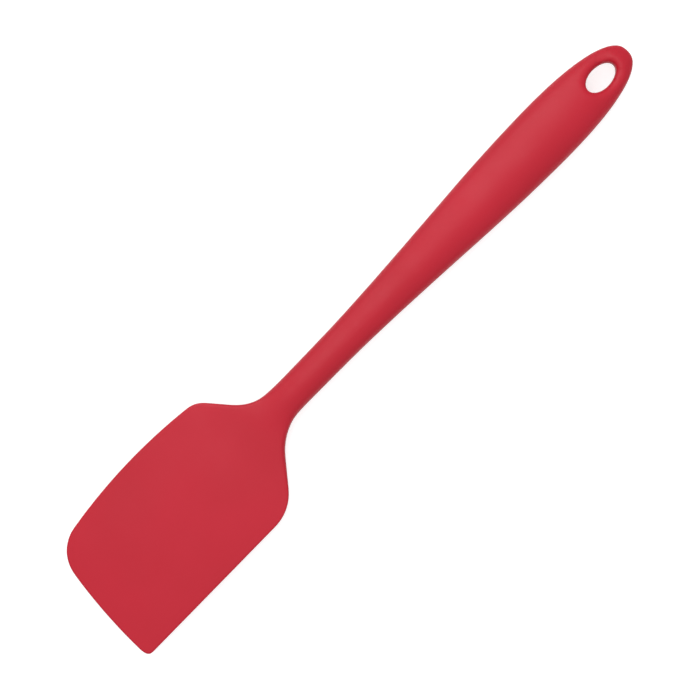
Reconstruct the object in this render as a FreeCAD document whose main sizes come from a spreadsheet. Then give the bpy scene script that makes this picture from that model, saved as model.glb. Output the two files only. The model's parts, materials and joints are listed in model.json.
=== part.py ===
import FreeCAD, Part
import math
import operator
import os

import Sketcher

# Seamless silicone spatula, in millimetres.
#
# Sketches and sections are drawn along the tool's own axis: X runs from the tip edge of the blade
# (0) to the end of the handle, Y points to the bowed side of the blade, and Z is the thickness
# with the mid-plane at 0.  Every body and section is then stood where the origin of the part is
# the middle of the bottom of its bounding box.

SIZES = {
    # Whole tool
    "overall_length": 280.0,
    "blade_length": 106.0,
    # Blade outline
    "straight_side": 29.55,
    "bowed_side": 23.1,
    "corner_side": 20.8,
    "corner_setback": 4.7,
    "flank_angle": 50.1,
    "bowed_flank_foot": 13.3,
    "straight_flank_foot": 11.9,
    "tip_bow_radius": 213.0,
    "side_bow_radius": 215.0,
    "square_corner_radius": 2.5,
    "round_corner_radius": 14.4,
    "bowed_shoulder_radius": 9.0,
    "straight_shoulder_radius": 17.0,
    "bowed_flare_radius": 19.0,
    "straight_flare_radius": 23.0,
    # Blade thickness
    "tip_thickness": 2.2,
    "taper_angle": 0.82,
    "lip_radius": 0.8,
    "flare_edge_radius": 2.1,
    # Neck and handle
    "neck_width": 12.85,
    "neck_thickness": 9.0,
    "neck_cover": 0.45,
    "neck_overlap": 6.0,
    "fan_length": 30.0,
    "fan_spread": 0.9,
    "fan_thinning": 0.55,
    "grip_from_end": 42.0,
    "grip_width": 23.45,
    "grip_thickness": 13.4,
    # Hanging hole
    "hole_from_end": 14.2,
    "hole_length": 13.8,
    "hole_width": 8.0,
    "hole_rim_radius": 2.2,
    # Nylon core
    "skin_wall": 2.0,
    "core_start_from_neck": 8.0,
    "hole_liner": 1.6,
    "eyelet_wall": 1.5,
    "eyelet_height": 2.8,
    "pocket_from_end": 80.0,
    "pocket_pitch": 15.0,
    "pocket_length": 11.0,
    "pocket_width": 9.0,
    "pocket_web": 2.4,
    # Steel spine
    "spine_thickness": 1.2,
    "tongue_start": 42.0,
    "tongue_end_from_neck": 34.0,
    "tongue_width": 25.0,
    "tongue_corner_radius": 5.0,
    "bonding_hole": 5.0,
    "bonding_offset": 6.5,
    "shank_width": 5.0,
    "shank_start_from_neck": 18.0,
    "shank_blend_radius": 10.0,
    "shank_from_end": 90.0,
    "locking_hole": 2.6,
}

POCKETS = 4
BONDING_COLUMNS = 3
LOCKING_HOLES = 4
LARGEST_RIM_SHARE = 0.42

doc = FreeCAD.newDocument("spatula")
sheet = doc.addObject("Spreadsheet::Sheet", "Sizes")
for row, (alias, number) in enumerate(SIZES.items(), start=1):
    sheet.set(f"A{row}", alias)
    sheet.set(f"B{row}", str(number))
    sheet.setAlias(f"B{row}", alias)
doc.recompute()

OPERATIONS = {"+": operator.add, "-": operator.sub, "*": operator.mul, "/": operator.truediv}


class Size:
    """A size worked out from the sheet: the expression that FreeCAD keeps, and its value."""

    def __init__(self, expression, value):
        self.expression = expression
        self.value = value

    def joined(self, sign, other, other_first=False):
        """This size and another, or a plain number, joined by one of the four operations."""
        if not isinstance(other, Size):
            other = Size(f"{other:.6f}", float(other))
        left, right = (other, self) if other_first else (self, other)
        return Size(f"({left.expression} {sign} {right.expression})",
                    OPERATIONS[sign](left.value, right.value))

    def __add__(self, other):
        return self.joined("+", other)

    def __sub__(self, other):
        return self.joined("-", other)

    def __mul__(self, other):
        return self.joined("*", other)

    def __truediv__(self, other):
        return self.joined("/", other)

    def __rsub__(self, other):
        return self.joined("-", other, other_first=True)

    def __neg__(self):
        return 0 - self


def size(alias):
    """The named size from the sheet."""
    return Size(f"Sizes.{alias}", float(sheet.get(alias)))


def tangent(angle):
    """The tangent of a size that is an angle in degrees."""
    return Size(f"tan({angle.expression})", math.tan(math.radians(angle.value)))


def bind(thing, property_name, amount):
    """Keep a property of an object equal to a size."""
    thing.setExpression(property_name, amount.expression)


# ---------------------------------------------------------------- places that pieces share

nothing = Size("0", 0.0)
length = size("overall_length")
neck = size("blade_length")
palm = length - size("grip_from_end")
hole_centre = length - size("hole_from_end")
straight = size("straight_side")
bowed = size("bowed_side")

# The blade's flanks run from its two shoulders to the neck at the same slope.
flank_slope = tangent(size("flank_angle"))
half_slab = size("neck_width") / 2 - size("neck_cover")
bowed_foot = neck - size("bowed_flank_foot")
straight_foot = neck - size("straight_flank_foot")
bowed_shoulder = bowed_foot - (bowed - half_slab) / flank_slope
straight_shoulder = straight_foot - (straight - half_slab) / flank_slope

# Where the tool's axis starts, seen from the origin of the part.
side_chord = bowed_shoulder - size("corner_setback")
bow_height = side_chord * side_chord / (size("side_bow_radius") * 8)
bowed_reach = (bowed + size("corner_side")) / 2 + bow_height
START_X = -length / 2
START_Y = (straight - bowed_reach) / 2
START_Z = size("grip_thickness") / 2


def stand(thing, x=nothing, y=nothing, z=nothing):
    """Put an object at this place along, beside and above the start of the tool's axis."""
    bind(thing, "Placement.Base.x", START_X + x)
    bind(thing, "Placement.Base.y", START_Y + y)
    bind(thing, "Placement.Base.z", START_Z + z)


# ---------------------------------------------------------------- sketches and features

def new_body(name):
    """A PartDesign body that stands at the start of the tool's axis."""
    body = doc.addObject("PartDesign::Body", name)
    stand(body)
    return body


def new_sketch(body, name, role="XY_Plane"):
    """An empty sketch on one of the body's own origin planes."""
    plane = next(feature for feature in body.Origin.OriginFeatures if feature.Role == role)
    sketch = body.newObject("Sketcher::SketchObject", name)
    sketch.AttachmentSupport = [(plane, "")]
    sketch.MapMode = "FlatFace"
    return sketch


def constrain(sketch, kind, where, amount):
    """Add a dimension and bind it to its size."""
    index = sketch.addConstraint(Sketcher.Constraint(kind, *where, amount.value))
    bind(sketch, f"Constraints[{index}]", amount)


def fix_point(sketch, element, end, x, y):
    """Locate one end, or the centre, of a sketch element from the sketch's origin."""
    constrain(sketch, "DistanceX", (-1, 1, element, end), x)
    constrain(sketch, "DistanceY", (-1, 1, element, end), y)


def bow(start, end, radius):
    """An arc of a sketch from start to end that bulges to the right of the way between them."""
    chord = end - start
    outward = FreeCAD.Vector(chord.y, -chord.x, 0).normalize()
    depth = math.sqrt(radius ** 2 - (chord.Length / 2) ** 2)
    circle = Part.Circle((start + end) / 2 - outward * depth, FreeCAD.Vector(0, 0, 1), radius)
    return Part.ArcOfCircle(circle, circle.parameter(start), circle.parameter(end))


def draw_outline(sketch, corners, bows=None):
    """Draw a closed outline, anticlockwise, through corners that are pairs of sizes.

    bows gives the radius of each side, by its number, that is an arc and not a line."""
    bows = bows or {}
    points = [FreeCAD.Vector(x.value, y.value, 0) for x, y in corners]
    sides = []
    for number, start in enumerate(points):
        end = points[(number + 1) % len(points)]
        if number in bows:
            side = bow(start, end, bows[number].value)
        else:
            side = Part.LineSegment(start, end)
        sides.append(sketch.addGeometry(side, False))
    for number, side in enumerate(sides):
        following = sides[(number + 1) % len(sides)]
        sketch.addConstraint(Sketcher.Constraint("Coincident", side, 2, following, 1))
        fix_point(sketch, side, 1, *corners[number])
        if number in bows:
            constrain(sketch, "Radius", (side,), bows[number])


def draw_circle(sketch, x, y, diameter):
    """Draw a circle round a centre that is located from the sketch's origin."""
    centre = FreeCAD.Vector(x.value, y.value, 0)
    circle = Part.Circle(centre, FreeCAD.Vector(0, 0, 1), diameter.value / 2)
    element = sketch.addGeometry(circle, False)
    fix_point(sketch, element, 3, x, y)
    constrain(sketch, "Diameter", (element,), diameter)


def pad(body, sketch, name, thickness):
    """Pad a sketch by half the thickness each way from its plane."""
    feature = body.newObject("PartDesign::Pad", name)
    feature.Profile = sketch
    feature.Midplane = True
    bind(feature, "Length", thickness)
    doc.recompute()
    return feature


def cut_through(body, sketch, name):
    """Cut a sketch right through the body, both ways from its plane."""
    before = body.Shape.Volume
    feature = body.newObject("PartDesign::Pocket", name)
    feature.Profile = sketch
    feature.Midplane = True
    feature.Type = "ThroughAll"
    doc.recompute()
    if body.Shape.Volume >= before:
        raise RuntimeError(f"{name} cuts nothing")


def upright_edge(shape, x, y):
    """The name of the upright edge of a shape that stands at this place in plan."""
    def distance(numbered):
        return max(math.hypot(vertex.X - x.value, vertex.Y - y.value)
                   for vertex in numbered[1].Vertexes)

    number, _ = min(enumerate(shape.Edges, start=1), key=distance)
    return f"Edge{number}"


def round_corners(body, base, corners, radius):
    """Round the upright edges of a body's newest feature at these corners of its plan."""
    fillet = body.newObject("PartDesign::Fillet", radius.replace("radius", "round"))
    fillet.Base = (base, [upright_edge(base.Shape, *corner) for corner in corners])
    bind(fillet, "Radius", size(radius))
    doc.recompute()
    return fillet


def boolean(kind, name, base, tool):
    """A Part boolean of two objects: Cut or Fuse."""
    result = doc.addObject(f"Part::{kind}", name)
    result.Base = base
    result.Tool = tool
    return result


# ---------------------------------------------------------------- blade

def make_blade():
    """The flat blade with its round corners and its taper, before its lip is rounded."""
    body = new_body("blade")
    blank = size("neck_thickness")
    inside_handle = neck + size("neck_overlap")
    corners = {
        "square_corner": (nothing, -straight),
        "straight_shoulder": (straight_shoulder, -straight),
        "straight_flare": (straight_foot, -half_slab),
        "straight_root": (inside_handle, -half_slab),
        "bowed_root": (inside_handle, half_slab),
        "bowed_flare": (bowed_foot, half_slab),
        "bowed_shoulder": (bowed_shoulder, bowed),
        "round_corner": (size("corner_setback"), size("corner_side")),
    }
    order = list(corners)
    bows = {
        order.index("bowed_shoulder"): size("side_bow_radius"),
        order.index("round_corner"): size("tip_bow_radius"),
    }
    plan = new_sketch(body, "blade_plan")
    draw_outline(plan, list(corners.values()), bows)
    newest = pad(body, plan, "blade_slab", blank)
    for name, corner in corners.items():
        if not name.endswith("root"):
            newest = round_corners(body, newest, [corner], f"{name}_radius")

    # Both faces are flat and draw together towards the tip.
    slope = tangent(size("taper_angle"))
    front = -blank
    back = inside_handle + blank
    front_half = size("tip_thickness") / 2 + front * slope
    back_half = size("tip_thickness") / 2 + back * slope
    faces = new_sketch(body, "blade_faces", "XZ_Plane")
    draw_outline(faces, [(front, front_half), (back, back_half), (back, blank), (front, blank)])
    draw_outline(faces, [(front, -blank), (back, -blank), (back, -back_half),
                         (front, -front_half)])
    cut_through(body, faces, "blade_taper")
    return body


def turns_from_face_to_side(shape, edge):
    """Whether an edge has a flat face of the blade on one side and an upright one on the other."""
    middle = edge.valueAt((edge.FirstParameter + edge.LastParameter) / 2)
    upwards = [abs(face.normalAt(*face.Surface.parameter(middle)).z)
               for face in shape.ancestorsOfType(edge, Part.Face)]
    return min(upwards) < 0.1 and max(upwards) > 0.9


def round_lip(blade):
    """Round the rim of both faces of the blade, more towards the neck than at the tip."""
    lip = size("lip_radius").value
    growth = size("flare_edge_radius").value - lip
    flare_length = size("fan_length").value
    flare_start = blade.Placement.Base.x + neck.value - flare_length
    root = blade.Shape.BoundBox.XMax

    def radius_at(point):
        return lip + growth * min(max((point.x - flare_start) / flare_length, 0), 1)

    edges = []
    for number, edge in enumerate(blade.Shape.Edges, start=1):
        if edge.BoundBox.XMin < root - lip and turns_from_face_to_side(blade.Shape, edge):
            first = edge.valueAt(edge.FirstParameter)
            last = edge.valueAt(edge.LastParameter)
            edges.append((number, radius_at(first), radius_at(last)))
    rounded = doc.addObject("Part::Fillet", "rounded_blade")
    rounded.Base = blade
    rounded.Edges = edges
    return rounded


# ---------------------------------------------------------------- handle

ACROSS = FreeCAD.Rotation(FreeCAD.Vector(0, 1, 0), FreeCAD.Vector(0, 0, 1),
                          FreeCAD.Vector(1, 0, 0), "XYZ")


def smooth_step(share):
    """A share from 0 to 1 that starts and stops gently."""
    return share ** 2 * (3 - 2 * share)


def fan_section(share):
    """Place, width and thickness in the fan, where the handle spreads and sinks into the blade."""
    width = size("neck_width") * (size("fan_spread") * share ** 2.2 + 1)
    thickness = size("neck_thickness") * (1 - size("fan_thinning") * smooth_step(share))
    return neck - size("fan_length") * share, width, thickness


def grip_section(share):
    """Place, width and thickness between the neck and the palm, the widest part of the grip."""
    rise = smooth_step(share) ** 1.3
    width = size("neck_width") + (size("grip_width") - size("neck_width")) * rise
    thickness = size("neck_thickness") + (size("grip_thickness") - size("neck_thickness")) * rise
    return neck + (palm - neck) * share, width, thickness


def tail_section(share):
    """Place, width and thickness between the palm and the round end."""
    width = size("grip_width") * (1 - share ** 2.3) ** 0.4
    thickness = size("grip_thickness") * (1 - share ** 1.9) ** 0.5
    return palm + size("grip_from_end") * share, width, thickness


def tail_sections(angles):
    """Sections of the tail, closer together towards the end, where it rounds off."""
    return [tail_section(math.sin(math.radians(angle))) for angle in angles]


FAN = [fan_section(share) for share in (1.0, 0.78, 0.58, 0.38, 0.18)]
GRIP = [grip_section(step / 6) for step in range(6)]
TAIL = tail_sections((0, 14, 28, 41, 52, 62, 71, 79, 85))
CORE_TAIL = TAIL[:4]


def loft(name, sections, end=None):
    """A solid through elliptical sections, closed by a point if an end is given."""
    outlines = []
    for number, (place, width, thickness) in enumerate(sections, start=1):
        outline = doc.addObject("Part::Ellipse", f"{name}_section_{number}")
        outline.Placement = FreeCAD.Placement(FreeCAD.Vector(), ACROSS)
        stand(outline, place)
        bind(outline, "MajorRadius", width / 2)
        bind(outline, "MinorRadius", thickness / 2)
        outlines.append(outline)
    if end is not None:
        point = doc.addObject("Part::Vertex", f"{name}_end")
        stand(point, end)
        outlines.append(point)
    solid = doc.addObject("Part::Loft", name)
    solid.Sections = outlines
    solid.Solid = True
    return solid


# ---------------------------------------------------------------- hanging hole

def hole_post(name, allowance, height):
    """An upright oval post in the middle of the hanging hole, wider by an allowance all round."""
    outline = doc.addObject("Part::Ellipse", f"{name}_outline")
    stand(outline, hole_centre)
    bind(outline, "MajorRadius", size("hole_length") / 2 + allowance)
    bind(outline, "MinorRadius", size("hole_width") / 2 + allowance)
    post = doc.addObject("Part::Extrusion", name)
    post.Base = outline
    post.DirMode = "Normal"
    post.Symmetric = True
    post.Solid = True
    bind(post, "LengthFwd", height)
    return post


def round_rims(pierced, hole):
    """Round both rims of the hanging hole, as far as the wall beside the hole leaves room."""
    reach = hole.Shape.BoundBox
    _, width, _ = tail_section(1 - (size("hole_from_end") / size("grip_from_end")).value)
    wall = (width - size("hole_width")).value / 2
    radius = min(size("hole_rim_radius").value, LARGEST_RIM_SHARE * wall)
    rounded = doc.addObject("Part::Fillet", "outer_form")
    rounded.Base = pierced
    rounded.Edges = [(number, radius, radius)
                     for number, edge in enumerate(pierced.Shape.Edges, start=1)
                     if edge.isClosed() and reach.isInside(edge.BoundBox.Center)]
    return rounded


def make_outer_form():
    """The whole outside of the tool as one solid, with the hanging hole through it."""
    rounded_blade = round_lip(make_blade())
    handle = loft("handle", FAN + GRIP + TAIL, end=length)
    joined = boolean("Fuse", "blade_and_handle", rounded_blade, handle)
    hole = hole_post("hanging_hole", nothing, size("grip_thickness"))
    pierced = boolean("Cut", "pierced_form", joined, hole)
    doc.recompute()
    return round_rims(pierced, hole)


# ---------------------------------------------------------------- steel spine

def spread(first, last, count):
    """Places evenly spaced between two places, with the same gap before, between and after."""
    pitch = (last - first) / (count + 1)
    return [first + pitch * step for step in range(1, count + 1)]


def make_spine():
    """A stamped strip: a wide tongue for the blade and a narrow shank for the handle."""
    body = new_body("steel_spine")
    half_tongue = size("tongue_width") / 2
    half_shank = size("shank_width") / 2
    start = size("tongue_start")
    tongue_end = neck - size("tongue_end_from_neck")
    shank_start = neck - size("shank_start_from_neck")
    shank_end = length - size("shank_from_end")

    outline = new_sketch(body, "spine_outline")
    draw_outline(outline, [(start, -half_tongue), (tongue_end, -half_tongue),
                           (shank_start, -half_shank), (shank_end, -half_shank),
                           (shank_end, half_shank), (shank_start, half_shank),
                           (tongue_end, half_tongue), (start, half_tongue)])
    newest = pad(body, outline, "spine_strip", size("spine_thickness"))
    for place, half_width, radius in ((start, half_tongue, "tongue_corner_radius"),
                                      (tongue_end, half_tongue, "tongue_corner_radius"),
                                      (shank_start, half_shank, "shank_blend_radius")):
        corners = [(place, -half_width), (place, half_width)]
        newest = round_corners(body, newest, corners, radius)

    # Silicone runs through the tongue's holes and nylon through the shank's.
    holes = new_sketch(body, "spine_holes")
    for number, place in enumerate(spread(start, tongue_end, BONDING_COLUMNS)):
        rows = (0,) if number % 2 else (-1, 1)
        for row in rows:
            draw_circle(holes, place, size("bonding_offset") * row, size("bonding_hole"))
    for place in spread(shank_start, shank_end, LOCKING_HOLES):
        draw_circle(holes, place, nothing, size("locking_hole"))
    cut_through(body, holes, "spine_piercing")
    return body


# ---------------------------------------------------------------- nylon core

def inset(sections, wall):
    """The same sections with a wall taken off all round."""
    return [(place, width - wall * 2, thickness - wall * 2) for place, width, thickness in sections]


def make_pockets():
    """Slots that open on both faces of the core and leave a web along its middle."""
    body = new_body("slots")
    plan = new_sketch(body, "slot_plan")
    half_length = size("pocket_length") / 2
    half_width = size("pocket_width") / 2
    for step in range(POCKETS):
        middle = length - size("pocket_from_end") + size("pocket_pitch") * step
        draw_outline(plan, [(middle - half_length, -half_width),
                            (middle + half_length, -half_width),
                            (middle + half_length, half_width),
                            (middle - half_length, half_width)])
    pad(body, plan, "slot_pad", size("grip_thickness"))
    web = doc.addObject("Part::Box", "web")
    stand(web, nothing, -half_width * 2, -size("pocket_web") / 2)
    bind(web, "Length", length)
    bind(web, "Width", half_width * 4)
    bind(web, "Height", size("pocket_web"))
    return boolean("Cut", "pockets", body, web)


def make_core(spine):
    """The stiff core of the handle, moulded on the shank, with an eyelet round the hole."""
    start = fan_section(size("core_start_from_neck").value / size("fan_length").value)
    blank = loft("core_blank", inset([start] + GRIP + CORE_TAIL, size("skin_wall")))
    eyelet = hole_post("eyelet", size("hole_liner") + size("eyelet_wall"), size("eyelet_height"))
    liner = hole_post("lined_hole", size("hole_liner"), size("grip_thickness"))
    ringed = boolean("Fuse", "core_with_eyelet", blank, eyelet)
    opened = boolean("Cut", "core_with_hole", ringed, liner)
    pocketed = boolean("Cut", "core_with_pockets", opened, make_pockets())
    return boolean("Cut", "nylon_core", pocketed, spine)


# ---------------------------------------------------------------- assembly and export

def check(thing):
    """Stop if an object failed to build."""
    if "Invalid" in thing.State or "Error" in thing.State:
        raise RuntimeError(f"{thing.Label} failed: {thing.State}")


def main():
    """Build the three pieces and write each one to its STEP file."""
    spine = make_spine()
    core = make_core(spine)
    around_core = boolean("Cut", "form_without_core", make_outer_form(), core)
    skin = boolean("Cut", "silicone_skin", around_core, spine)
    doc.recompute()
    for thing in doc.Objects:
        check(thing)
    os.makedirs("parts", exist_ok=True)
    for piece in (skin, core, spine):
        shape = piece.Shape
        if shape.isNull() or not shape.isValid() or len(shape.Solids) != 1:
            raise RuntimeError(f"{piece.Label} is not one sound solid")
        print(f"{piece.Label}: {shape.Volume / 1000:.2f} cm3, {len(shape.Faces)} faces")
        shape.exportStep(f"parts/{piece.Label}.step")


main()
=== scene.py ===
import json
import math

import bmesh
import bpy
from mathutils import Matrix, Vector


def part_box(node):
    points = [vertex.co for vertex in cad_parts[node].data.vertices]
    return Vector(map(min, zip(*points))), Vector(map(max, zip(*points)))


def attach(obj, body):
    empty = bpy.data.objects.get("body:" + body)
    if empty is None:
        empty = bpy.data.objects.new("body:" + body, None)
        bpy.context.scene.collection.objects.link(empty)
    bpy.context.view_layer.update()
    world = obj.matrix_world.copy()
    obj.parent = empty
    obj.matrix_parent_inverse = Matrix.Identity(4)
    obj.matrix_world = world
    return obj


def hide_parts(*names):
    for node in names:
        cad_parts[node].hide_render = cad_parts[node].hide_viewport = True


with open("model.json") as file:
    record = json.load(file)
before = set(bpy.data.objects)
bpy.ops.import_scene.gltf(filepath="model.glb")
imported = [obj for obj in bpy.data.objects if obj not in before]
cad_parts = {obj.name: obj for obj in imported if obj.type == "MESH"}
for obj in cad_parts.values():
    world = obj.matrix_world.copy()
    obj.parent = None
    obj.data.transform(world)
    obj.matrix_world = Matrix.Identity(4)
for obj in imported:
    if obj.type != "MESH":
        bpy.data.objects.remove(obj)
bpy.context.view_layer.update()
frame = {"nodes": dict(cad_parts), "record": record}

bl_info = {
    "name": "Silicone Spatula",
    "version": (1, 0, 0),
    "blender": (4, 5, 0),
    "location": "3D View > Sidebar > Spatula",
    "description": "Moulds a seamless silicone spatula round its packed core and spine",
    "category": "Object",
}

MM = 0.001

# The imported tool
SKIN = frame["nodes"]["silicone_skin"]
CORE = frame["nodes"]["nylon_core"]
SPINE = frame["nodes"]["steel_spine"]
LOW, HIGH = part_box("silicone_skin")
LENGTH = HIGH.x - LOW.x
MIDDLE_Z = (LOW.z + HIGH.z) / 2
MOUNTS = {mount["name"]: mount for mount in frame["record"]["mounts"]}
HOLE = Vector(MOUNTS["hanging_hole"]["pos_m"])

# Lengths at which the outline changes its course
SQUARED_TIP = LOW.x + 20 * MM
CORNER_END = LOW.x + 24 * MM
SHOULDER_START = LOW.x + 62 * MM
NECK_START = LOW.x + 112 * MM
TAIL_START = HIGH.x - 34 * MM
LAST_WIDTH = HIGH.x - 1.0 * MM

# The first sheet, and the block that is cut out of it for the hanging hole
TAIL_STEP_SHARE = 0.8
HOLE_MARGIN = 1.0 * MM
HOLE_BLOCK_SHARE = 0.6
HOLE_RING = 1.2
GUIDE_SIDES = 192
SIDE_GAP = 0.02 * MM
RELAX_REPEATS = 60

# Widths of the narrow bands along the open edges, from the edge inwards
EDGE_BANDS = (0.03 * MM, 0.15 * MM, 0.24 * MM, 0.33 * MM)
# Vertices this near to the outline belong to the blade's edge
EDGE_BAND = 0.8 * MM

# Where the handle runs out into the blade, and how it is smoothed there
NECK_BLEND = (LOW.x + 78 * MM, LOW.x + 100 * MM)
NECK_BLEND_MARGINS = (8 * MM, 4 * MM, 0)
NECK_BLEND_REPEATS = 20
NECK_EDGE = 2.2 * MM
NECK_JOINT = (LOW.x + 94 * MM, LOW.x + 101 * MM)
NECK_JOINT_MARGINS = (4 * MM, 2 * MM, 0)
NECK_JOINT_REPEATS = 4

WELD_DISTANCE = 0.001 * MM
SMOOTH_ANGLE = math.radians(40)

# Share of a colour that is left in its darker patches
SILICONE_SHADE = (0.93, 0.85, 0.85)
NYLON_SHADE = (0.8, 0.8, 0.8)
STEEL_SHADE = (0.82, 0.82, 0.82)

# Place, then width and length, of each light in metres
SIDE_LIGHT = ((0.05, 1.35, 0.60), (0.8, 0.9))
TOP_LIGHT = ((0.20, 0.42, 0.75), (0.5, 1.2))
FLOOR_SIZE = 6
BACKDROP_RADIUS = 2.9
BACKDROP_HEIGHT = 4
FULL_LIGHT_HEIGHT = 0.7
SENSOR_WIDTH = 36


# ---------------------------------------------------------------- settings

class SkinSettings(bpy.types.PropertyGroup):
    """Sizes and colours of the silicone skin."""

    rows: bpy.props.IntProperty(
        name="Rows", description="Faces across the tool, from its straight side to its bowed side",
        default=10, min=6)
    blade_step: bpy.props.FloatProperty(
        name="Blade Step", description="Length of a face where the sides run straight",
        default=4 * MM, unit="LENGTH")
    curve_step: bpy.props.FloatProperty(
        name="Curve Step", description="Length of a face where the outline turns",
        default=2 * MM, unit="LENGTH")
    clearance: bpy.props.FloatProperty(
        name="Clearance", description="How far outside the tool the first sheet is cut",
        default=0.4 * MM, unit="LENGTH")
    edge_thinning: bpy.props.FloatProperty(
        name="Edge Thinning", description="Thickness of the blade's edge, as a share of its middle",
        default=0.66, min=0.3, max=1)
    crown_width: bpy.props.FloatProperty(
        name="Crown Width", description="How far in from its edge the blade goes on thickening",
        default=30 * MM, unit="LENGTH")
    red: bpy.props.FloatVectorProperty(
        name="Silicone Red", description="Colour of the silicone", subtype="COLOR",
        size=3, default=(0.515, 0.004, 0.022), min=0, max=1)


# ---------------------------------------------------------------- small tools for edit mode

def deselect_everything():
    """Leave nothing selected and no object in edit mode."""
    if bpy.context.object and bpy.context.object.mode != "OBJECT":
        bpy.ops.object.mode_set(mode="OBJECT")
    bpy.ops.object.select_all(action="DESELECT")


def make_active(piece):
    """Select one object and make it the active one."""
    deselect_everything()
    piece.select_set(True)
    bpy.context.view_layer.objects.active = piece


def start_edit(piece, kind="VERT"):
    """Open one object in edit mode with nothing selected."""
    make_active(piece)
    bpy.ops.object.mode_set(mode="EDIT")
    bpy.ops.mesh.select_mode(type=kind)
    bpy.ops.mesh.select_all(action="DESELECT")


def finish_edit():
    """Go back to object mode."""
    bpy.ops.object.mode_set(mode="OBJECT")


def select_vertices(piece, test):
    """In edit mode, select only the vertices that pass a test."""
    mesh = bmesh.from_edit_mesh(piece.data)
    bpy.ops.mesh.select_all(action="DESELECT")
    for vertex in mesh.verts:
        vertex.select = test(vertex)
    mesh.select_flush_mode()
    bmesh.update_edit_mesh(piece.data)


def select_faces(piece, test):
    """In edit mode, select only the faces whose middle passes a test."""
    mesh = bmesh.from_edit_mesh(piece.data)
    bpy.ops.mesh.select_all(action="DESELECT")
    for face in mesh.faces:
        face.select_set(test(face.calc_center_median()))
    bmesh.update_edit_mesh(piece.data)


def select_open_edges(piece, test):
    """In edit mode, select only the open edges whose middle passes a test."""
    mesh = bmesh.from_edit_mesh(piece.data)
    bpy.ops.mesh.select_all(action="DESELECT")
    for edge in mesh.edges:
        middle = (edge.verts[0].co + edge.verts[1].co) / 2
        if edge.is_boundary and test(middle):
            edge.select_set(True)
    bmesh.update_edit_mesh(piece.data)


def group_selected(piece, name):
    """Put the selected vertices in a new vertex group."""
    piece.vertex_groups.new(name=name)
    bpy.ops.object.vertex_group_set_active(group=name)
    bpy.ops.object.vertex_group_assign()


def apply_modifier(piece, kind, **settings):
    """Add a modifier, set it and apply it."""
    make_active(piece)
    modifier = piece.modifiers.new(kind.title(), kind)
    for name, value in settings.items():
        setattr(modifier, name, value)
    bpy.ops.object.modifier_apply(modifier=modifier.name)


# ---------------------------------------------------------------- the tool's outline

def reach(x, side):
    """How far the tool reaches to one side of its axis at this length, at its middle height."""
    start = Vector((x, side * LENGTH, MIDDLE_Z))
    hit, place, _, _ = SKIN.ray_cast(start, Vector((0, -side, 0)))
    if not hit:
        raise RuntimeError(f"nothing to measure at {x:.4f}")
    return place.y


def hole_reach():
    """Half the length and half the width of the hanging hole, at its middle height."""
    _, end, _, _ = SKIN.ray_cast(HOLE, Vector((1, 0, 0)))
    _, side, _, _ = SKIN.ray_cast(HOLE, Vector((0, 1, 0)))
    return end.x - HOLE.x, side.y - HOLE.y


def stations(settings):
    """Lengths at which the sheet gets a line of vertices, closer together where it turns."""
    stretches = ((LOW.x - settings.clearance, CORNER_END, settings.curve_step),
                 (CORNER_END, SHOULDER_START, settings.blade_step),
                 (SHOULDER_START, NECK_START, settings.curve_step),
                 (NECK_START, TAIL_START, settings.blade_step),
                 (TAIL_START, HIGH.x + settings.clearance,
                  TAIL_STEP_SHARE * settings.curve_step))
    places = [stretches[0][0]]
    for start, end, step in stretches:
        count = round((end - start) / step)
        places += [start + (end - start) * number / count for number in range(1, count + 1)]
    return places


def cut_sheet(settings):
    """A flat sheet at the tool's middle height, a little larger than its outline."""
    lines = []
    for x in stations(settings):
        measured = min(max(x, SQUARED_TIP), LAST_WIDTH)
        lines.append((x, reach(measured, -1) - settings.clearance,
                      reach(measured, 1) + settings.clearance))
    x, low_y, high_y = lines[0]
    deselect_everything()
    bpy.ops.mesh.primitive_grid_add(
        x_subdivisions=1, y_subdivisions=settings.rows, size=1,
        location=(x, (low_y + high_y) / 2, MIDDLE_Z))
    sheet = bpy.context.object
    sheet.name = "silicone_body"
    bpy.ops.object.transform_apply(location=True, rotation=True, scale=True)
    start_edit(sheet)
    select_vertices(sheet, lambda vertex: vertex.co.x > x)
    bpy.ops.mesh.delete(type="VERT")
    bpy.ops.mesh.select_all(action="SELECT")
    bpy.ops.transform.translate(value=(0.5, 0, 0))
    bpy.ops.transform.resize(value=(1, high_y - low_y, 1),
                             center_override=(x, (low_y + high_y) / 2, MIDDLE_Z))
    for next_x, next_low, next_high in lines[1:]:
        middle = (low_y + high_y) / 2
        bpy.ops.mesh.extrude_region_move(
            TRANSFORM_OT_translate={"value": (next_x - x, (next_low + next_high) / 2 - middle, 0)})
        bpy.ops.transform.resize(value=(1, (next_high - next_low) / (high_y - low_y), 1),
                                 center_override=(next_x, (next_low + next_high) / 2, MIDDLE_Z))
        x, low_y, high_y = next_x, next_low, next_high
    finish_edit()
    return sheet


def over_hole(place):
    """Whether a place on the sheet belongs to the block that is cut away for the hanging hole."""
    half_length, _ = hole_reach()
    half_grip = reach(HOLE.x, 1) - HOLE.y
    return (abs(place.x - HOLE.x) < half_length + HOLE_MARGIN
            and abs(place.y - HOLE.y) < HOLE_BLOCK_SHARE * half_grip)


def open_hole(sheet):
    """Name the sheet's outline and the outline of the hanging hole, then cut the hole out."""
    start_edit(sheet, "FACE")
    bpy.ops.mesh.select_all(action="SELECT")
    bpy.ops.mesh.region_to_loop()
    group_selected(sheet, "rim")
    bpy.ops.mesh.select_mode(type="FACE")
    select_faces(sheet, over_hole)
    bpy.ops.mesh.region_to_loop()
    group_selected(sheet, "hole")
    bpy.ops.mesh.select_mode(type="FACE")
    select_faces(sheet, over_hole)
    bpy.ops.mesh.delete(type="FACE")
    finish_edit()


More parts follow.
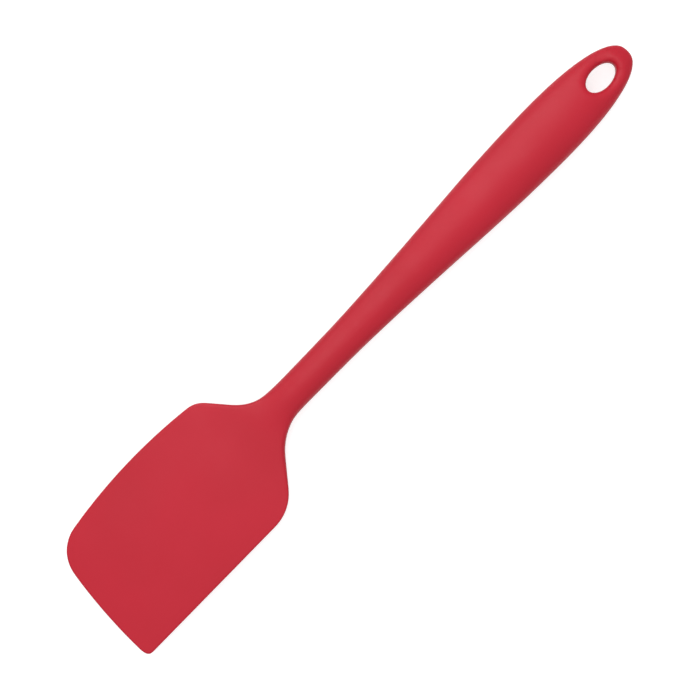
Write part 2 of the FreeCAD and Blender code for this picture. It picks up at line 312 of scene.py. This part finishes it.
def hole_guide():
    """An upright oval tube that lines the hanging hole."""
    half_length, half_width = hole_reach()
    deselect_everything()
    bpy.ops.mesh.primitive_cylinder_add(
        vertices=GUIDE_SIDES, radius=1, depth=1, end_fill_type="NOTHING",
        location=(HOLE.x, HOLE.y, MIDDLE_Z))
    guide = bpy.context.object
    bpy.ops.transform.resize(value=(half_length + SIDE_GAP, half_width + SIDE_GAP, 1))
    bpy.ops.object.transform_apply(location=True, rotation=True, scale=True)
    return guide


def fit_outline(sheet, outside):
    """Draw the sheet's open edges to the tool's outline and relax what lies between them."""
    guide = hole_guide()
    apply_modifier(sheet, "SHRINKWRAP", target=outside, vertex_group="rim",
                   wrap_method="NEAREST_SURFACEPOINT", wrap_mode="ON_SURFACE",
                   offset=-SIDE_GAP)
    apply_modifier(sheet, "SHRINKWRAP", target=guide, vertex_group="hole",
                   wrap_method="NEAREST_SURFACEPOINT", wrap_mode="ON_SURFACE")
    bpy.data.objects.remove(guide)
    relax(sheet)


def relax(sheet):
    """Even out the flat sheet inside its open edges."""
    start_edit(sheet)
    select_vertices(sheet, lambda vertex: not vertex.is_boundary)
    bpy.ops.mesh.vertices_smooth(
        factor=0.5, repeat=RELAX_REPEATS, xaxis=True, yaxis=True, zaxis=False)
    finish_edit()


def band_edges(sheet):
    """Add narrow bands of faces along the open edges, where the surface turns over."""
    start_edit(sheet, "FACE")
    bpy.ops.mesh.select_all(action="SELECT")
    for width in EDGE_BANDS:
        bpy.ops.mesh.inset(thickness=width, depth=0, use_boundary=True, use_even_offset=True)
    finish_edit()


def press(sheet, outside, name, direction):
    """A copy of the sheet pressed onto the front or the back of the tool."""
    make_active(sheet)
    bpy.ops.object.duplicate()
    half = bpy.context.object
    half.name = name
    start_edit(half)
    bpy.ops.mesh.select_all(action="SELECT")
    bpy.ops.transform.translate(value=(0, 0, -direction * (HIGH.z - LOW.z)))
    if direction > 0:
        bpy.ops.mesh.flip_normals()
    finish_edit()
    apply_modifier(half, "SHRINKWRAP", target=outside, wrap_method="PROJECT",
                   use_project_x=False, use_project_y=False, use_project_z=True,
                   use_positive_direction=direction > 0, use_negative_direction=direction < 0)
    return half


def close_edges(halves):
    """Join the front and the back along the outline and through the hanging hole."""
    make_active(halves[0])
    halves[1].select_set(True)
    bpy.ops.object.join()
    body = bpy.context.object
    start_edit(body, "EDGE")
    half_length, half_width = hole_reach()

    def in_hole(place):
        return math.hypot((place.x - HOLE.x) / half_length,
                          (place.y - HOLE.y) / half_width) < HOLE_RING

    for test in (in_hole, lambda place: not in_hole(place)):
        select_open_edges(body, test)
        bpy.ops.mesh.bridge_edge_loops(number_cuts=1, interpolation="LINEAR")
    bpy.ops.mesh.select_all(action="SELECT")
    bpy.ops.mesh.normals_make_consistent(inside=False)
    finish_edit()
    return body


def wrap(body, outside):
    """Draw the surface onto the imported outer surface."""
    apply_modifier(body, "SHRINKWRAP", target=outside,
                   wrap_method="NEAREST_SURFACEPOINT", wrap_mode="ON_SURFACE")


def refine(body):
    """Divide every face once, smoothly."""
    apply_modifier(body, "SUBSURF", levels=1, render_levels=1)


def crown_blade(body, settings):
    """Thin the blade gently from its middle to its edges."""
    start_edit(body)

    def on_blade_edge(vertex):
        x, y, _ = vertex.co
        if x > NECK_BLEND[0]:
            return False
        x = max(x, LOW.x + EDGE_BAND)    # the tip edge itself can't be measured
        return (x < LOW.x + 2 * EDGE_BAND
                or not reach(x, -1) + EDGE_BAND < y < reach(x, 1) - EDGE_BAND)

    select_vertices(body, on_blade_edge)
    bpy.ops.transform.resize(
        value=(1, 1, settings.edge_thinning), center_override=(0, 0, MIDDLE_Z),
        use_proportional_edit=True, proportional_edit_falloff="SHARP",
        proportional_size=settings.crown_width)
    finish_edit()


def blend_neck(body):
    """Let the handle run out softly into the blade."""
    start_edit(body)
    for margin in NECK_BLEND_MARGINS:
        start, end = NECK_BLEND[0] - margin, NECK_BLEND[1] + margin

        def between_edges(vertex):
            x, y, _ = vertex.co
            return (start < x < end
                    and reach(x, -1) + NECK_EDGE < y < reach(x, 1) - NECK_EDGE)

        select_vertices(body, between_edges)
        bpy.ops.mesh.vertices_smooth(
            factor=0.5, repeat=NECK_BLEND_REPEATS, xaxis=False, yaxis=False, zaxis=True)
    for margin in NECK_JOINT_MARGINS:
        start, end = NECK_JOINT[0] - margin, NECK_JOINT[1] + margin
        select_vertices(body, lambda vertex: start < vertex.co.x < end)
        bpy.ops.mesh.vertices_smooth(factor=0.5, repeat=NECK_JOINT_REPEATS)
    finish_edit()


def split_skin():
    """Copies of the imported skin's outer surface and of the surface round its core."""
    make_active(SKIN)
    bpy.ops.object.duplicate()
    copy = bpy.context.object
    start_edit(copy)
    bpy.ops.mesh.select_all(action="SELECT")
    bpy.ops.mesh.remove_doubles(threshold=WELD_DISTANCE)
    bpy.ops.mesh.separate(type="LOOSE")
    finish_edit()
    shells = sorted(bpy.context.selected_objects, key=lambda shell: -shell.dimensions.x)
    for shell in shells:
        shell.parent = None
    return shells[0], shells[1:]


# ---------------------------------------------------------------- materials

def new_finish(name):
    """A new material, its node tree and its main shader."""
    finish = bpy.data.materials.new(name)
    finish.use_nodes = True
    return finish, finish.node_tree, finish.node_tree.nodes["Principled BSDF"]


def wear(piece, finish):
    """Give a piece one material all over."""
    piece.data.materials.clear()
    piece.data.materials.append(finish)


def place_pattern(tree, stretch=(1, 1, 1)):
    """Object coordinates, stretched along the axes."""
    place = tree.nodes.new("ShaderNodeTexCoord")
    mapping = tree.nodes.new("ShaderNodeMapping")
    mapping.inputs["Scale"].default_value = stretch
    tree.links.new(place.outputs["Object"], mapping.inputs["Vector"])
    return mapping.outputs["Vector"]


def noise(tree, vector, scale, detail=3.0, roughness=0.5):
    """Soft noise; its spots are about 1 / scale metres across."""
    node = tree.nodes.new("ShaderNodeTexNoise")
    node.inputs["Scale"].default_value = scale
    node.inputs["Detail"].default_value = detail
    node.inputs["Roughness"].default_value = roughness
    tree.links.new(vector, node.inputs["Vector"])
    return node.outputs["Fac"]


def between(tree, factor, low, high, start=0.3, end=0.7):
    """A number that goes from low to high while the factor goes from start to end."""
    node = tree.nodes.new("ShaderNodeMapRange")
    for name, value in (("From Min", start), ("From Max", end), ("To Min", low), ("To Max", high)):
        node.inputs[name].default_value = value
    tree.links.new(factor, node.inputs["Value"])
    return node.outputs["Result"]


def shaded(colour, shade):
    """The darker version of a colour."""
    return tuple(channel * share for channel, share in zip(colour, shade))


def blend_colours(tree, factor, first, second):
    """A colour between two, driven by noise."""
    node = tree.nodes.new("ShaderNodeMix")
    node.data_type = "RGBA"
    tree.links.new(factor, node.inputs["Factor"])
    node.inputs["A"].default_value = (*first, 1)
    node.inputs["B"].default_value = (*second, 1)
    return node.outputs["Result"]


def raise_grain(tree, shader, height, strength, distance):
    """Bump a surface by a height between 0 and 1."""
    bump = tree.nodes.new("ShaderNodeBump")
    bump.inputs["Strength"].default_value = strength
    bump.inputs["Distance"].default_value = distance
    tree.links.new(height, bump.inputs["Height"])
    tree.links.new(bump.outputs["Normal"], shader.inputs["Normal"])


def silicone_finish(settings):
    """Matte red silicone: faint clouds in the colour and the sheen, and a fine moulded grain."""
    finish, tree, shader = new_finish("red_silicone")
    place = place_pattern(tree)
    clouds = noise(tree, place, scale=28, detail=2)
    smudges = noise(tree, place, scale=90, detail=4)
    grain = noise(tree, place, scale=2600, detail=2)
    red = tuple(settings.red)
    tree.links.new(blend_colours(tree, between(tree, clouds, 0, 1),
                                 shaded(red, SILICONE_SHADE), red),
                   shader.inputs["Base Color"])
    tree.links.new(between(tree, smudges, 0.42, 0.5), shader.inputs["Roughness"])
    shader.inputs["Specular IOR Level"].default_value = 0.36
    shader.inputs["Subsurface Weight"].default_value = 0.08
    shader.inputs["Subsurface Radius"].default_value = (1.0, 0.25, 0.2)
    shader.inputs["Subsurface Scale"].default_value = 1.2 * MM
    raise_grain(tree, shader, grain, strength=0.12, distance=0.02 * MM)
    return finish


def nylon_finish(settings):
    """Dark glass-filled nylon: cloudy, with short fibres along the flow."""
    finish, tree, shader = new_finish("filled_nylon")
    place = place_pattern(tree, stretch=(0.12, 1, 1))
    fibres = noise(tree, place, scale=3200, detail=3, roughness=0.6)
    clouds = noise(tree, place_pattern(tree), scale=60, detail=2)
    nylon = tuple(settings.nylon)
    tree.links.new(blend_colours(tree, between(tree, clouds, 0, 1),
                                 shaded(nylon, NYLON_SHADE), nylon),
                   shader.inputs["Base Color"])
    tree.links.new(between(tree, fibres, 0.42, 0.62), shader.inputs["Roughness"])
    raise_grain(tree, shader, fibres, strength=0.25, distance=0.03 * MM)
    return finish


def steel_finish(settings):
    """Spring strip steel, brushed along its length."""
    finish, tree, shader = new_finish("stainless_strip")
    place = place_pattern(tree, stretch=(0.02, 1, 1))
    scratches = noise(tree, place, scale=9000, detail=4, roughness=0.7)
    steel = tuple(settings.steel)
    tree.links.new(blend_colours(tree, between(tree, scratches, 0, 1),
                                 shaded(steel, STEEL_SHADE), steel),
                   shader.inputs["Base Color"])
    tree.links.new(between(tree, scratches, 0.24, 0.42), shader.inputs["Roughness"])
    shader.inputs["Metallic"].default_value = 1
    raise_grain(tree, shader, scratches, strength=0.2, distance=0.01 * MM)
    return finish


# ---------------------------------------------------------------- operators

class SPATULA_OT_mould_skin(bpy.types.Operator):
    """Mould the seamless silicone skin over the whole tool"""

    bl_idname = "spatula.mould_skin"
    bl_label = "Mould Silicone Skin"

    def execute(self, context):
        settings = context.scene.spatula_skin
        outside, cavities = split_skin()
        sheet = cut_sheet(settings)
        open_hole(sheet)
        fit_outline(sheet, outside)
        band_edges(sheet)
        front = press(sheet, outside, "front", -1)
        back = press(sheet, outside, "back", 1)
        body = close_edges((front, back))
        wrap(body, outside)
        refine(body)
        wrap(body, outside)
        crown_blade(body, settings)
        blend_neck(body)
        refine(body)
        bpy.data.objects.remove(outside)
        bpy.data.objects.remove(sheet)
        make_active(body)
        for cavity in cavities:
            cavity.select_set(True)
        bpy.ops.object.join()
        body.name = "silicone_body"
        bpy.ops.object.shade_smooth_by_angle(angle=SMOOTH_ANGLE)
        wear(body, silicone_finish(settings))
        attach(body, "root")
        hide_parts("silicone_skin")
        return {"FINISHED"}


class SPATULA_OT_finish_core(bpy.types.Operator):
    """Give the moulded core its glass-filled nylon"""

    bl_idname = "spatula.finish_core"
    bl_label = "Finish Nylon Core"

    def execute(self, context):
        wear(CORE, nylon_finish(context.scene.spatula_inserts))
        return {"FINISHED"}


class SPATULA_OT_finish_spine(bpy.types.Operator):
    """Give the flexible spine its brushed spring steel"""

    bl_idname = "spatula.finish_spine"
    bl_label = "Finish Steel Spine"

    def execute(self, context):
        wear(SPINE, steel_finish(context.scene.spatula_inserts))
        return {"FINISHED"}


class SPATULA_OT_set_stage(bpy.types.Operator):
    """Lay the floor, hang the lights and place the camera"""

    bl_idname = "spatula.set_stage"
    bl_label = "Set Stage"

    def execute(self, context):
        settings = context.scene.spatula_stage
        lay_floor(settings)
        raise_backdrop()
        hang_light("side_light", *SIDE_LIGHT, settings.side_power)
        hang_light("top_light", *TOP_LIGHT, settings.top_power)
        light_room(settings)
        place_camera(settings)
        return {"FINISHED"}


class SPATULA_PT_sidebar(bpy.types.Panel):
    """The steps that make the spatula, in order"""

    bl_idname = "SPATULA_PT_sidebar"
    bl_label = "Silicone Spatula"
    bl_space_type = "VIEW_3D"
    bl_region_type = "UI"
    bl_category = "Spatula"

    def draw(self, context):
        for settings, step in STEPS:
            box = self.layout.box()
            group = getattr(context.scene, settings)
            for name in group.bl_rna.properties.keys():
                if name not in ("rna_type", "name"):
                    box.prop(group, name)
            box.operator(step)


# ---------------------------------------------------------------- stage

def lay_floor(settings):
    """A plain pale floor under the tool."""
    deselect_everything()
    bpy.ops.mesh.primitive_plane_add(size=FLOOR_SIZE, location=(0, 0, LOW.z))
    floor = bpy.context.object
    floor.name = "studio_floor"
    bpy.ops.object.transform_apply(location=True, rotation=True, scale=True)
    finish, _, shader = new_finish("studio_floor")
    shader.inputs["Base Color"].default_value = (*settings.floor, 1)
    shader.inputs["Roughness"].default_value = 0.9
    shader.inputs["Specular IOR Level"].default_value = 0.1
    shader.inputs["Emission Color"].default_value = (1, 1, 1, 1)
    shader.inputs["Emission Strength"].default_value = settings.floor_glow
    wear(floor, finish)
    floor.visible_diffuse = False


def raise_backdrop():
    """A plain white wall all round that only the camera sees, so that it shades nothing."""
    deselect_everything()
    bpy.ops.mesh.primitive_cylinder_add(
        vertices=96, radius=BACKDROP_RADIUS, depth=BACKDROP_HEIGHT,
        end_fill_type="NOTHING", location=(0, 0, LOW.z))
    backdrop = bpy.context.object
    backdrop.name = "studio_backdrop"
    bpy.ops.object.transform_apply(location=True, rotation=True, scale=True)
    finish, _, shader = new_finish("studio_backdrop")
    shader.inputs["Base Color"].default_value = (0, 0, 0, 1)
    shader.inputs["Specular IOR Level"].default_value = 0
    shader.inputs["Emission Color"].default_value = (1, 1, 1, 1)
    shader.inputs["Emission Strength"].default_value = 1
    wear(backdrop, finish)
    backdrop.visible_diffuse = backdrop.visible_glossy = False
    backdrop.visible_transmission = backdrop.visible_shadow = False


def hang_light(name, place, size, power):
    """A soft light that faces the tool and stays out of the picture itself."""
    lamp = bpy.data.lights.new(name, "AREA")
    lamp.shape = "RECTANGLE"
    lamp.size, lamp.size_y = size
    lamp.energy = power
    holder = bpy.data.objects.new(name, lamp)
    bpy.context.collection.objects.link(holder)
    holder.location = place
    holder.rotation_euler = Vector(place).to_track_quat("Z", "Y").to_euler()
    holder.visible_camera = False


def light_room(settings):
    """Even pale light from above that fades towards the floor."""
    world = bpy.data.worlds.new("studio")
    world.use_nodes = True
    tree = world.node_tree
    direction = tree.nodes.new("ShaderNodeTexCoord")
    parts = tree.nodes.new("ShaderNodeSeparateXYZ")
    tree.links.new(direction.outputs["Generated"], parts.inputs["Vector"])
    strength = between(tree, parts.outputs["Z"], settings.low_light, settings.room_light,
                       start=0, end=FULL_LIGHT_HEIGHT)
    background = tree.nodes["Background"]
    background.inputs["Color"].default_value = (1, 1, 1, 1)
    tree.links.new(strength, background.inputs["Strength"])
    bpy.context.scene.world = world
    bpy.context.scene.view_settings.view_transform = "Standard"


def place_camera(settings):
    """A long lens straight above the tool, turned so that the handle points up to the right."""
    camera = bpy.data.cameras.new("camera")
    camera.lens = settings.lens
    camera.sensor_width = SENSOR_WIDTH
    holder = bpy.data.objects.new("camera", camera)
    bpy.context.collection.objects.link(holder)
    distance = settings.lens / camera.sensor_width * settings.view_width
    holder.location = (*settings.view_centre, HIGH.z / 2 + distance)
    holder.rotation_euler = (0, 0, -settings.view_turn)
    bpy.context.scene.camera = holder


# ---------------------------------------------------------------- more settings

class InsertSettings(bpy.types.PropertyGroup):
    """Colours of the core and the spine inside the silicone."""

    nylon: bpy.props.FloatVectorProperty(
        name="Nylon", description="Colour of the moulded core", subtype="COLOR",
        size=3, default=(0.06, 0.06, 0.065), min=0, max=1)
    steel: bpy.props.FloatVectorProperty(
        name="Steel", description="Colour of the spring strip", subtype="COLOR",
        size=3, default=(0.62, 0.62, 0.6), min=0, max=1)


class StageSettings(bpy.types.PropertyGroup):
    """Floor, lights and camera."""

    floor: bpy.props.FloatVectorProperty(
        name="Floor", description="Colour of the floor", subtype="COLOR",
        size=3, default=(0.6, 0.6, 0.6), min=0, max=1)
    floor_glow: bpy.props.FloatProperty(
        name="Floor Glow", description="Light that the floor gives off, as a light table does",
        default=0.65, min=0)
    side_power: bpy.props.FloatProperty(
        name="Side Light", description="Power of the soft light on the bowed side",
        default=1.8, min=0, unit="POWER")
    top_power: bpy.props.FloatProperty(
        name="Top Light", description="Power of the soft light overhead",
        default=3.5, min=0, unit="POWER")
    room_light: bpy.props.FloatProperty(
        name="Room Light", description="Strength of the even light from overhead",
        default=0.88, min=0)
    low_light: bpy.props.FloatProperty(
        name="Low Light", description="Strength of the even light from near the floor",
        default=0.3, min=0)
    lens: bpy.props.FloatProperty(
        name="Lens", description="Focal length of the camera in millimetres",
        default=100, min=20)
    view_width: bpy.props.FloatProperty(
        name="View Width", description="Width of the view at the tool's middle height",
        default=255 * MM, unit="LENGTH")
    view_centre: bpy.props.FloatVectorProperty(
        name="View Centre", description="Place on the floor under the camera",
        size=2, default=(-8.65 * MM, -1.77 * MM), subtype="XYZ", unit="LENGTH")
    view_turn: bpy.props.FloatProperty(
        name="View Turn", description="Angle of the handle above the picture's lower edge",
        default=math.radians(45.66), subtype="ANGLE")


STEPS = (("spatula_skin", "spatula.mould_skin"),
         ("spatula_inserts", "spatula.finish_core"),
         ("spatula_inserts", "spatula.finish_spine"),
         ("spatula_stage", "spatula.set_stage"))
SETTINGS = {"spatula_skin": SkinSettings, "spatula_inserts": InsertSettings,
            "spatula_stage": StageSettings}
CLASSES = (SkinSettings, InsertSettings, StageSettings, SPATULA_OT_mould_skin,
           SPATULA_OT_finish_core, SPATULA_OT_finish_spine, SPATULA_OT_set_stage,
           SPATULA_PT_sidebar)


def register():
    for item in CLASSES:
        bpy.utils.register_class(item)
    for name, group in SETTINGS.items():
        setattr(bpy.types.Scene, name, bpy.props.PointerProperty(type=group))


def unregister():
    for name in SETTINGS:
        delattr(bpy.types.Scene, name)
    for item in reversed(CLASSES):
        bpy.utils.unregister_class(item)


def main():
    """Run every step in order."""
    register()
    bpy.ops.spatula.mould_skin()
    bpy.ops.spatula.finish_core()
    bpy.ops.spatula.finish_spine()
    bpy.ops.spatula.set_stage()


if __name__ == "__main__":
    main()
